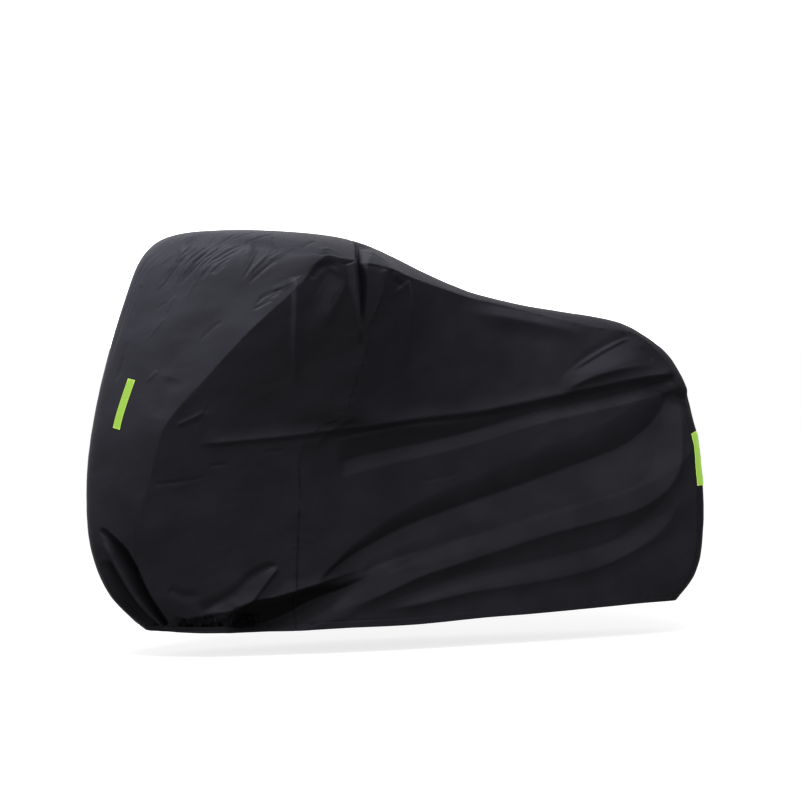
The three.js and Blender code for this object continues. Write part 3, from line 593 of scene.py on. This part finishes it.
def beside(path, places, reach):
    """Which places are within reach of a path, how far off and along it, their offset and its direction."""
    lo, hi = path.min(0) - reach, path.max(0) + reach
    near = np.flatnonzero(((places > lo) & (places < hi)).all(1))
    q = places[near]
    far, along = np.full(len(near), np.inf), np.zeros(len(near))
    offset, way = np.zeros_like(q), np.zeros_like(q)
    pieces = len(path) - 1
    for k in range(pieces):
        d = path[k + 1] - path[k]
        t = np.clip((q - path[k]) @ d / (d @ d), 0, 1)
        out = q - path[k] - t[:, None] * d
        gap = np.linalg.norm(out, axis=1)
        closer = gap < far
        far = np.where(closer, gap, far)
        along = np.where(closer, (k + t) / pieces, along)
        offset[closer], way[closer] = out[closer], d
    return near, far, along, offset, way


def ends_run_out(fade, along):
    return smooth(-TINY, fade[0], along) * smooth(-TINY, fade[1], 1 - along)


def fold_depth(fold, places):
    """How far a fold lies inwards at each place (x, z)."""
    reach = max(np.max(fold.left), np.max(fold.right))
    near, far, along, offset, way = beside(traced(fold.path), places, reach)
    left = way[:, 0] * offset[:, 1] - way[:, 1] * offset[:, 0] > 0
    flank = np.where(left, spread(fold.left, along), spread(fold.right, along))
    far = np.hypot(far, fold.soft) - fold.soft
    keen = np.where(left, *fold.keen)
    rise = np.maximum(0, 1 - far / flank) ** keen
    depth = np.zeros(len(places))
    depth[near] = spread(fold.depth, along) * rise * ends_run_out(fold.fade, along)
    return depth


def crease_depth(crease, places):
    """How far a fine crease lies inwards at each place."""
    near, far, along, _, _ = beside(traced(crease.path), places, crease.width)
    soft = crease.width * CREASE_SOFT
    far = np.hypot(far, soft) - soft
    rise = np.maximum(0, 1 - far / crease.width) ** 2
    depth = np.zeros(len(places))
    depth[near] = crease.depth * rise * ends_run_out(CREASE_FADE, along)
    return depth


def with_echoes(rows):
    """The streaks of the nose and their echoes, which are uneven and the same each time."""
    draw = np.random.default_rng(ECHO_SEED)
    found = []
    for row in rows:
        path = np.array(row.path, float)
        across = unit(np.cross(np.gradient(path, axis=0), inward(path)))
        for k in range(-row.echoes, row.echoes + 1):
            shift = k * row.spacing * draw.uniform(*ECHO["shift"])
            drift = draw.uniform(-ECHO["drift"], ECHO["drift"]) * row.spacing * (k != 0)
            moved = path + (shift + np.linspace(0, drift, len(path)))[:, None] * across
            cut = draw.uniform(0, ECHO["cut"], 2) * (k != 0)
            keep = np.linspace(cut[0], 1 - cut[1], len(path)) * (len(path) - 1)
            moved = np.column_stack([np.interp(keep, np.arange(len(path)), moved[:, c]) for c in range(3)])
            share = draw.uniform(*ECHO["depth"]) if k else 1
            found.append(Crease(moved, row.depth * share, row.width * draw.uniform(*ECHO["width"])))
    return found


nose_creases = with_echoes(STREAKS)


def gather_depth(x, z):
    start, end, run_out = GATHERS["from"], GATHERS["to"], GATHERS["run_out"]
    within = smooth(start, start + run_out, x) * (1 - smooth(end - run_out, end, x))
    top = HEM_Z + GATHERS["tall"] * (1 + ripple("top of the gathers", x, z))
    low = 1 - smooth(top - GATHERS_TOP, top, z)
    over_edge = smooth(*(HEM_Z + height for height in GATHERS["edge"]), z)
    lean = x + ripple("lean of the gathers", x, z)
    fine = ripple("gather", lean, z) + ripple("fine gather", lean, z)
    return within * low * over_edge * (GATHERS["sunk"] + GATHERS["depth"] * fine)


def relief(p, near):
    """How far the cloth lies inwards of its plain surface, from all folds of its side."""
    x, z = p[:, 0], p[:, 2]
    places = p[:, [0, 2]]
    depth = gather_depth(x, z)
    for fold in NEAR_FOLDS if near else FAR_FOLDS:
        depth += fold_depth(fold, places)
    for crease in NEAR_CREASES if near else ():
        depth += crease_depth(crease, places)
    along, across = (a * x + b * z for a, b in WAVES_LIE)
    for wave in ("slow wave", "small wave"):
        depth += ripple(wave, along, across, 0 if near else 1)
    return depth


def painted_shade(p, near):
    """Painted shade: how much the colour is darkened, in the gathers and in folds that little light reaches.
    """
    places = p[:, [0, 2]]
    dark = GATHERS_PAINTED_SHADE * smooth(*GATHERS_PAINTED_SHADE_FROM, gather_depth(*places.T))
    for fold in NEAR_FOLDS if near else FAR_FOLDS:
        if fold.recess:
            flank = fold_depth(fold._replace(**{fold.recess.lit: 1}), places) / np.max(fold.depth)
            dark = np.maximum(dark, fold.recess.dark * smooth(*PAINTED_SHADE_FROM, flank))
    return dark


def seam_relief(off, along, shows):
    """The dip into a seam and the puckers beside it: off is the distance from it, along the place on it."""
    dip = np.exp(-((off / SEAM_WIDTH) ** 2))
    wave = ripple("pucker", along, off) + ripple("long pucker", along, off)
    at_seam = dip * (1 + ripple("depth of a seam", along, 0 * off))
    return shows * (SEAM_DIP * at_seam + PUCKER * wave * (np.exp(-off / PUCKER_REACH) - dip))


def hem_relief(off, along):
    """The doubled cloth of the hem stands out a little, up to its line of stitches."""
    beyond = off - HEM_DEPTH
    band = -HEM_RISE * (1 - smooth(HEM_DEPTH - HEM_STEP, HEM_DEPTH, off))
    line = HEM_LINE["depth"] * np.exp(-((beyond / HEM_LINE["width"]) ** 2))
    wave = ripple("wave of the hem", along, off) * np.exp(-((beyond / HEM_LINE["wave_reach"]) ** 2))
    return band + line + wave


def stops(length, step, head=(0,), tail=(0,)):
    """Places along a length: an even step apart, with those of head and tail at its two ends."""
    places = np.linspace(0, length, max(2, round(length / step)) + 1)
    inner = [q for q in places if head[-1] + step / 2 < q < length - tail[-1] - step / 2]
    return np.array([*head, *inner, *(length - q for q in reversed(tail))])


def normals_of(grid):
    """Unit normals of a grid of points, by its own two directions."""
    return unit(np.cross(np.gradient(grid, axis=0), np.gradient(grid, axis=1)))


def area_of(points, faces):
    """The area of triangles or quads, in square metres."""
    corners = points[np.array(faces)] * MM
    doubled = np.cross(corners[:, 2] - corners[:, 0], corners[:, -1] - corners[:, 1])
    return np.linalg.norm(doubled, axis=1).sum() / 2


def make_mesh(name, points, faces, material, attributes=()):
    """A smooth mesh object in metres. attributes are (name, one or three values at each point)."""
    mesh = bpy.data.meshes.new(name)
    mesh.from_pydata((points * MM).tolist(), [], faces)
    for key, values in attributes:
        values = np.asarray(values, np.float32)
        vector = values.ndim == 2
        data = mesh.attributes.new(key, "FLOAT_VECTOR" if vector else "FLOAT", "POINT").data
        data.foreach_set("vector" if vector else "value", values.ravel())
    mesh.polygons.foreach_set("use_smooth", [True] * len(mesh.polygons))
    mesh.materials.append(material)
    obj = bpy.data.objects.new(name, mesh)
    bpy.context.scene.collection.objects.link(obj)
    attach(obj, "root")
    return obj


def grid_faces(columns, rows, flip=False, first=0):
    a = (np.arange(columns - 1)[:, None] * rows + np.arange(rows - 1)).ravel() + first
    quads = np.column_stack([a, a + rows, a + rows + 1, a + 1])
    return (quads[:, ::-1] if flip else quads).tolist()


def turn_seam(edge, beyond):
    """Rows of points that turn a panel's edge in at a seam. beyond points out of the panel, along it."""
    into = inward(edge)
    return [edge - SEAM_GAP * beyond + depth * into for depth in ALLOWANCE]


def turn_hem(edge, beyond, into):
    """Rows of points that roll a panel's edge under at the hem."""
    return [edge + down * beyond + depth * into for down, depth in HEM_ROLL]


def with_turned_edges(cloth, inner):
    """The grid with its hem rolled under at its first row and its other three edges turned in at seams."""
    low = turn_hem(cloth[:, 0], unit(cloth[:, 0] - cloth[:, 1]), inner[:, 0])
    high = turn_seam(cloth[:, -1], unit(cloth[:, -1] - cloth[:, -2]))
    grid = np.concatenate([np.stack(low[::-1], 1), cloth, np.stack(high, 1)], 1)
    front = turn_seam(grid[0], unit(grid[0] - grid[1]))
    rear = turn_seam(grid[-1], unit(grid[-1] - grid[-2]))
    return np.concatenate([np.stack(front[::-1]), grid, np.stack(rear)], 0)


def line_at(rows, off, distance):
    """The line where off, which rises along each row, comes to a distance."""
    return np.array([[np.interp(distance, o, r[:, c]) for c in range(r.shape[1])] for o, r in zip(off, rows)])


def thread_faces(first):
    """The faces of one thread whose points start at first: its two ends and its four sides."""
    faces = []
    last = first + THREAD_POINTS - 1
    for i in range(THREAD_CORNERS):
        a, b = first + 1 + i, first + 1 + (i + 1) % THREAD_CORNERS
        c, d = a + THREAD_CORNERS, b + THREAD_CORNERS
        faces += [(first, a, b), (last, d, c), (a, c, d, b)]
    return faces


def stitching(name, lines, material, mirror=1):
    """Short raised threads along lines whose points have (x, y, z) and a normal."""
    points = []
    half = STITCH["long"] / 2
    for line in lines:
        length = length_along(line[:, :3])
        places = np.arange(STITCH["pitch"], length[-1] - STITCH["pitch"], STITCH["pitch"])
        start, middle, end = (
            np.column_stack([np.interp(places + shift, length, line[:, c]) for c in range(6)])
            for shift in (-half, 0, half)
        )
        start, end, normal = start[:, :3], end[:, :3], unit(middle[:, 3:])
        side = unit(np.cross(end - start, normal)) * STITCH["thick"]
        up = normal * STITCH["thick"]
        rows = [start - STITCH["sunk"] * normal]
        for part in THREAD_PARTS:
            centre = start + (end - start) * part + STITCH["lift"] * normal
            rows += [centre + side, centre + up, centre - side, centre - up]
        rows.append(end - STITCH["sunk"] * normal)
        points.append(np.stack(rows, 1).reshape(-1, 3))
    points = np.concatenate(points)
    faces = [face[::mirror] for first in range(0, len(points), THREAD_POINTS) for face in thread_faces(first)]
    return make_mesh(name, points * (1, mirror, 1), faces, material)


def edge_distances(grid):
    """How far each point of a grid lies from its front, rear, low and high edge, along the grid's lines."""
    from_front = np.pad(np.cumsum(np.linalg.norm(np.diff(grid, axis=0), axis=2), 0), ((1, 0), (0, 0)))
    from_low = np.pad(np.cumsum(np.linalg.norm(np.diff(grid, axis=1), axis=2), 1), ((0, 0), (1, 0)))
    return from_front, from_front[-1] - from_front, from_low, from_low[:, -1:] - from_low


def side_panel(name, panel, near, cloth_material, thread_material):
    """One side panel with its stitching, made on the near side and mirrored for the far one."""
    step = panel.near_step if near else panel.far_step
    s = stops(panel.wide, step, SEAM_STOPS, SEAM_STOPS) / panel.wide
    t = stops(panel.tall, step, HEM_STOPS, SEAM_STOPS) / panel.tall
    base = side_surface(panel.edges, s, t)
    from_front, from_rear, from_low, from_high = edge_distances(base)
    flat = base.reshape(-1, 3)
    depth = relief(flat, near).reshape(base.shape[:2])
    shift = 0 if near else FAR_SHIFT
    runs = ((from_front, from_low), (from_rear, from_low), (from_high, from_front))
    for (off, along), (seam, _) in zip(runs, panel.seams):
        depth += seam_relief(off, along + shift, SEAM_SHOWS[seam])
    depth += hem_relief(from_low, from_front + shift)
    cloth = (flat + inward(flat) * depth.reshape(-1, 1)).reshape(base.shape)
    outer = normals_of(cloth)
    grid = with_turned_edges(cloth, -outer)

    mirror = 1 if near else -1
    points = grid.reshape(-1, 3) * (1, mirror, 1)
    faces = grid_faces(*grid.shape[:2], flip=not near)
    turned_in = ((len(ALLOWANCE), len(ALLOWANCE)), (len(HEM_ROLL), len(ALLOWANCE)))
    measure = np.stack([from_front, from_low, np.zeros_like(from_low)], 2)
    measure = np.pad(measure, (*turned_in, (0, 0)), mode="edge").reshape(-1, 3) * MM
    # painted shade of the folds and gathers, which the material reads as its dark attribute
    dark = np.pad(painted_shade(flat, near).reshape(base.shape[:2]), turned_in, mode="edge").ravel()
    cover = make_mesh(name + "_cloth", points, faces, cloth_material, [("cloth", measure), ("dark", dark)])

    both = np.concatenate([cloth, outer], 2)
    turned = both.transpose(1, 0, 2)
    ways = (
        (turned, from_front.T),
        (turned[:, ::-1], from_rear.T[:, ::-1]),
        (both[:, ::-1], from_high[:, ::-1]),
    )
    lines = [line_at(*way, STITCH["from_seam"]) for way, (_, stitched) in zip(ways, panel.seams) if stitched]
    lines.append(line_at(both, from_low, HEM_DEPTH))
    threads = stitching(name + "_stitches", lines, thread_material, mirror)
    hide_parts(name)


def by_side(function, points, v):
    """What a function of points and of their side gives for points of the centre panel."""
    both = np.where(v < 0, function(points, True), function(points, False))
    return both * smooth(0, FOLDS_START, np.abs(v))


def centre_cloth(u, v, off, along):
    """Points of the centre panel with folds, seams and hems: off is the distance from the seam."""
    flat = centre_surface(u, v)
    x, y, z = flat.T
    depth = by_side(relief, flat, v)
    fine = ripple("wave of the nose", x + z, x - z + y)
    for crease in nose_creases:
        fine += crease_depth(crease, flat)
    depth += fine * smooth(0, STREAKS_START, off)
    shows = np.interp(u, SEAM_ENDS, [SEAM_SHOWS[part] for part in SEAM_PARTS])
    depth += seam_relief(off, along + np.where(v < 0, 0, FAR_SHIFT), shows)
    depth += hem_relief(np.minimum(along, RUN[-1] - along), off)
    return flat + inward(flat) * depth[:, None]


def zipped(a, b, first_a, first_b):
    """Triangles between two rows of points, whose rising places across the panel are a and b."""
    i = j = 0
    faces = []
    while i + 1 < len(a) or j + 1 < len(b):
        if j + 1 == len(b) or (i + 1 < len(a) and a[i + 1] <= b[j + 1]):
            faces.append((first_a + i, first_b + j, first_a + i + 1))
            i += 1
        else:
            faces.append((first_a + i, first_b + j, first_b + j + 1))
            j += 1
    return faces


def centre_columns():
    """The columns of the centre panel's points (u, v, distance from the seam, along, across), the places of
    the columns along it, and half the length of its longest rib."""
    front_end = np.interp(TIP_REAR, RUN_PLACES, RUN)
    front = stops(front_end, FRONT_STEPS[0], HEM_STOPS)
    rear = stops(RUN[-1] - front_end, REAR_STEPS[0], (0,), HEM_STOPS)
    along = np.concatenate([front, front_end + rear[1:]])
    u = np.interp(along, RUN, RUN_PLACES)
    half = np.linspace(-1, 0, RIB_SAMPLES)
    ribs = centre_surface(np.repeat(u, len(half)), np.tile(half, len(u))).reshape(len(u), len(half), 3)
    columns, longest = [], 0
    for k, rib in enumerate(ribs):
        length = length_along(rib)
        longest = max(longest, length[-1])
        _, near_step, far_step = FRONT_STEPS if k < len(front) else REAR_STEPS
        near = stops(length[-1], near_step, SEAM_STOPS)
        far = stops(length[-1], far_step, FAR_SEAM_STOPS)[-2::-1]
        v = np.concatenate([np.interp(near, length, half), -np.interp(far, length, half)])
        across = np.concatenate([near - length[-1], length[-1] - far])
        off = np.concatenate([near, far])
        columns.append(np.column_stack([np.full(len(v), u[k]), v, off, np.full(len(v), along[k]), across]))
    return columns, u, longest


def rolled_hem(u, inside_u, row):
    """Rows that roll an end of the centre panel under. inside_u is a place a little inside of the end."""
    v, edge, at = row
    inside = centre_surface(np.full(len(v), inside_u), v)
    beyond = unit(centre_surface(np.full(len(v), u), v) - inside)
    into = unit(np.cross(beyond, np.gradient(edge, axis=0))) * np.sign(inside_u - u)
    return [[v, q, at] for q in turn_hem(edge, beyond, into)]


def joined(rows):
    """Rows (places across, points, values) with their ends turned in at seams, joined by faces."""
    points, values, faces = [], [], []
    last, first = (), 0
    for v, q, at in rows:
        low = turn_seam(q[:1], unit(q[:1] - q[1:2]))
        high = turn_seam(q[-1:], unit(q[-1:] - q[-2:-1]))
        points += [*low[::-1], q, *high]
        values += [at[:1]] * len(low) + [at] + [at[-1:]] * len(high)
        past = PAST_END * np.arange(1, len(low) + 1)
        places = np.concatenate([v[0] - past[::-1], v, v[-1] + past])
        if first:
            faces += zipped(last, places, first - len(last), first)
        last = places
        first += len(places)
    return np.concatenate(points), np.concatenate(values), faces


def centre_panel(cloth_material):
    """The centre panel: columns across it with as many points as each needs, joined by triangles."""
    columns, u, longest = centre_columns()
    u_all, v_all, off, along, across = np.concatenate(columns).T
    cloth = centre_cloth(u_all, v_all, off, along)
    # painted shade of the folds and gathers, which the material reads as its dark attribute
    dark = by_side(painted_shade, centre_surface(u_all, v_all), v_all)
    measure = np.column_stack([along * MM, across * MM, np.zeros(len(cloth)), dark])
    ends = np.cumsum([0, *(len(c) for c in columns)])
    rows = [[v_all[a:b], cloth[a:b], measure[a:b]] for a, b in zip(ends, ends[1:])]
    front = rolled_hem(u[0], u[0] + END_STEP, rows[0])
    rear = rolled_hem(u[-1], u[-1] - END_STEP, rows[-1])
    points, values, faces = joined(front[::-1] + rows + rear)
    attributes = [("cloth", values[:, :3]), ("dark", values[:, 3])]
    panel = make_mesh("centre_panel_cloth", points, faces, cloth_material, attributes)
    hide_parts("centre_panel")
    flat = (2 * (longest + ALLOWANCE[-1]) * MM, (RUN[-1] + 2 * HEM_DEPTH) * MM)
    return panel, flat, area_of(points, faces)


def off_near_seam(u, v):
    """How far each place of the near half lies from its seam, along its rib."""
    shares = np.linspace(0, 1, STRIP_SAMPLES["off"])
    ribs = centre_surface(np.repeat(u, len(shares)), (np.outer(v + 1, shares) - 1).ravel())
    return np.linalg.norm(np.diff(ribs.reshape(len(u), len(shares), 3), axis=1), axis=2).sum(1)


def strip_ends(strip):
    """The places along the centre panel of a strip's low and high end, and its length and width."""
    lo, hi = (0, TIP_FRONT) if strip.part == "front" else (REAR_CORNER, 1)
    u = np.linspace(lo, hi, CURVE_SAMPLES)
    z = centre_surface(u, np.full(len(u), strip.low_across[0]))[:, 2]
    order = np.argsort(z)
    low, high = np.interp([strip.low, strip.high], z[order], u[order])
    along, across = STRIP_SAMPLES["long"], STRIP_SAMPLES["wide"]
    side = centre_surface(np.linspace(low, high, along), np.full(along, strip.low_across[0]))
    end = centre_surface(np.full(across, high), np.linspace(*strip.high_across, across))
    return low, high, length_along(side)[-1], length_along(end)[-1]


def strip_places(strip, a, b):
    """Where points a along and b across a strip lie on the centre panel."""
    low, high, long, wide = strip_ends(strip)
    share = a / long
    first, last = (np.interp(share, [0, 1], pair) for pair in zip(strip.low_across, strip.high_across))
    run = np.interp(low + (high - low) * share, RUN_PLACES, RUN) + strip.slant * b / wide
    return np.interp(run, RUN, RUN_PLACES), first + (last - first) * b / wide


def tape(strip, material, thread_material):
    """A reflective strip as a thin closed shell that follows the cloth, with a raised border and stitches."""
    low, high, long, wide = strip_ends(strip)
    i, j = (stops(size, step, STRIP_STOPS, STRIP_STOPS) for size, step in zip((long, wide), STRIP_STEPS))
    a, b = (grid.ravel() for grid in np.meshgrid(i, j, indexing="ij"))
    if low > high:
        a = long - a
    u, v = strip_places(strip, a, b)
    cloth = centre_cloth(u, v, off_near_seam(u, v), np.interp(u, RUN_PLACES, RUN))
    inner = cloth - inward(cloth) * STRIP_LIFT
    rim = np.minimum(np.minimum(a, long - a), np.minimum(b, wide - b))
    sunk = smooth(*STRIP_BORDER, rim)
    at_rim, reach = STRIP_RIM
    rise = STRIP_THICK * (at_rim + (1 - at_rim) * smooth(0, reach, rim)) - STRIP_SUNK * sunk
    outer = inner - inward(cloth) * rise[:, None]

    count, columns, rows = len(outer), len(i), len(j)
    faces = grid_faces(columns, rows) + grid_faces(columns, rows, True, count)
    corner = [0, (columns - 1) * rows, columns * rows - 1, rows - 1]
    loop = [*range(0, corner[1], rows), *range(corner[1], corner[2]), *range(corner[2], corner[3], -rows),
            *range(corner[3], 0, -1)]
    faces += [(q, p, p + count, q + count) for p, q in zip(loop, loop[1:] + loop[:1])]
    measure = np.column_stack([np.tile(a, 2), np.tile(b, 2), np.zeros(2 * count)]) * MM
    looks = [("cloth", measure), ("border", np.tile(1 - sunk, 2))]
    piece = make_mesh(strip.name, np.concatenate([outer, inner]), faces, material, looks)
    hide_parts(strip.node)

    grid = outer.reshape(columns, rows, 3)
    both = np.concatenate([grid, normals_of(grid)], 2)
    n = STRIP_STOPS.index(STRIP_LINE)
    box = [both[n:-n, n], both[n:-n, -n - 1], both[n, n:-n], both[-n - 1, n:-n]]
    return [piece, stitching(strip.name + "_stitches", box, thread_material)]


def feed(tree, socket, value):
    """Gives an input socket its value, or links it to the output socket that the value is."""
    if isinstance(value, bpy.types.NodeSocket):
        tree.links.new(value, socket)
    else:
        socket.default_value = value


def add_node(tree, kind, inputs, **settings):
    """Adds a shader node with its settings and what feeds its inputs, and gives its outputs."""
    node = tree.nodes.new("ShaderNode" + kind)
    for key, value in settings.items():
        setattr(node, key, value)
    for key, value in inputs.items():
        feed(tree, node.inputs[key], value)
    return node.outputs


def ramp(tree, value, ends):
    """The colour that runs between two ends, each with its place from 0 to 1 and its colour."""
    node = tree.nodes.new("ShaderNodeValToRGB")
    feed(tree, node.inputs["Fac"], value)
    for element, (place, colour) in zip(node.color_ramp.elements, ends):
        element.position = place
        element.color = (*colour, 1)
    return node.outputs["Color"]


def maths(tree, operation, first, second):
    return add_node(tree, "Math", {0: first, 1: second}, operation=operation)[0]


def bumped(tree, height, strength, distance, normal=None):
    inputs = {"Height": height, "Strength": strength, "Distance": distance}
    if normal:
        inputs["Normal"] = normal
    return add_node(tree, "Bump", inputs)["Normal"]


def new_look(name, roughness, specular):
    material = bpy.data.materials.new(name)
    material.use_nodes = True
    shader = material.node_tree.nodes["Principled BSDF"]
    shader.inputs["Roughness"].default_value = roughness
    shader.inputs["Specular IOR Level"].default_value = specular
    return material, material.node_tree, shader


def attribute(tree, name, output):
    return add_node(tree, "Attribute", {}, attribute_name=name)[output]


def cloth_look():
    """Black woven polyester: nearly matte, with a fine weave, a little uneven, and painted shade in the
    folds.
    """
    material, tree, shader = new_look("cover_cloth", roughness=0.55, specular=0.11)
    place = attribute(tree, "cloth", "Vector")
    patches = add_node(tree, "TexNoise", {"Vector": place, "Scale": 9, "Detail": 6})["Fac"]
    colour = ramp(tree, patches, CLOTH_COLOURS)
    # painted shade: the base colour is darkened by the dark attribute, in the gathers and the deep folds
    lit = maths(tree, "SUBTRACT", 1, attribute(tree, "dark", "Fac"))
    shaded = add_node(tree, "VectorMath", {0: colour, "Scale": lit}, operation="SCALE")["Vector"]
    feed(tree, shader.inputs["Base Color"], shaded)
    threads = {"Vector": place, "Scale": 320, "Distortion": 0.6}
    warp, weft = (add_node(tree, "TexWave", threads, bands_direction=way)["Fac"] for way in ("X", "Y"))
    grain = add_node(tree, "TexNoise", {"Vector": place, "Scale": 160, "Detail": 4})["Fac"]
    weave = bumped(tree, maths(tree, "MULTIPLY", warp, weft), strength=0.25, distance=0.0002)
    bumps = bumped(tree, grain, strength=0.35, distance=0.0008, normal=weave)
    feed(tree, shader.inputs["Normal"], bumps)
    return material


def thread_look():
    material, _, shader = new_look("thread", roughness=0.45, specular=0.3)
    shader.inputs["Base Color"].default_value = THREAD_COLOUR
    return material


def tape_look():
    """Yellow-green tape with small raised cells, and painted light: a little glow, brighter at its sewn
    border.
    """
    material, tree, shader = new_look("reflective_tape", roughness=0.4, specular=0.2)
    shader.inputs["Base Color"].default_value = TAPE_BASE
    # painted light: an emission that lights the tape, brighter at its border
    shader.inputs["Emission Strength"].default_value = 1
    feed(tree, shader.inputs["Emission Color"], ramp(tree, attribute(tree, "border", "Fac"), TAPE_PAINTED_GLOW))
    place = attribute(tree, "cloth", "Vector")
    cells = add_node(tree, "TexVoronoi", {"Vector": place, "Scale": 300, "Randomness": 0})["Distance"]
    feed(tree, shader.inputs["Normal"], bumped(tree, cells, strength=0.4, distance=0.0005))
    return material


def add_floor():
    """A plain pale floor that reads as white but still takes the shadow under the hem."""
    wide, z = FLOOR["wide"], FLOOR["z"]
    mesh = bpy.data.meshes.new("floor")
    corners = [(-wide, -wide, z), (wide, -wide, z), (wide, wide, z), (-wide, wide, z)]
    mesh.from_pydata(corners, [], [(0, 1, 2, 3)])
    material, _, shader = new_look("floor", roughness=0.9, specular=0)
    shader.inputs["Base Color"].default_value = FLOOR["colour"]
    shader.inputs["Emission Color"].default_value = (1, 1, 1, 1)
    shader.inputs["Emission Strength"].default_value = FLOOR["glow"]
    mesh.materials.append(material)
    floor = bpy.data.objects.new("floor", mesh)
    bpy.context.scene.collection.objects.link(floor)
    floor.visible_diffuse = floor.visible_glossy = False


def add_sky():
    """A pale sky: bright from behind and from the near side, and dark from below."""
    world = bpy.data.worlds.new("sky")
    world.use_nodes = True
    tree = world.node_tree
    way = add_node(tree, "TexCoord", {})["Generated"]
    light = 0
    for direction, strength in SKY:
        facing = add_node(tree, "VectorMath", {0: way, 1: direction}, operation="DOT_PRODUCT")["Value"]
        lobe = maths(tree, "POWER", maths(tree, "MAXIMUM", facing, 0), 2)
        light = maths(tree, "ADD", light, maths(tree, "MULTIPLY", lobe, strength))
    background = tree.nodes["Background"]
    background.inputs["Color"].default_value = (1, 1, 1, 1)
    feed(tree, background.inputs["Strength"], light)
    bpy.context.scene.world = world


def stand(name, data, place, towards):
    """Places a lamp or a camera and turns it towards a direction."""
    obj = bpy.data.objects.new(name, data)
    obj.location = place
    obj.rotation_mode = "QUATERNION"
    obj.rotation_quaternion = towards.to_track_quat("-Z", "Y")
    bpy.context.scene.collection.objects.link(obj)
    return obj


def add_lamp(row):
    """A soft lamp above the cover."""
    lamp = bpy.data.lights.new(row.name, "AREA")
    lamp.shape = "RECTANGLE"
    lamp.energy = row.power
    lamp.size, lamp.size_y = row.size
    lamp.color = LAMP_COLOUR
    direction = Vector(row.direction).normalized()
    stand(row.name, lamp, Vector(row.target) + row.away * direction, -direction)


def add_camera():
    data = bpy.data.cameras.new("camera")
    for key, value in LENS.items():
        setattr(data, key, value)
    bpy.context.scene.camera = stand("camera", data, CAMERA_AT, Vector(CAMERA_TOWARDS))


black, thread, lime = cloth_look(), thread_look(), tape_look()
for side in ("near", "far"):
    for side_part in SIDE_PANELS:
        side_panel(f"{side}_{side_part.part}", side_part, side == "near", black, thread)
panel, flat, area = centre_panel(black)
tapes = [piece for strip in STRIPS for piece in tape(strip, lime, thread)]

add_floor()
add_sky()
for lamp_row in LAMPS:
    add_lamp(lamp_row)
add_camera()
bpy.context.scene.view_settings.view_transform = "Standard"
bpy.context.scene.view_settings.gamma = GAMMA
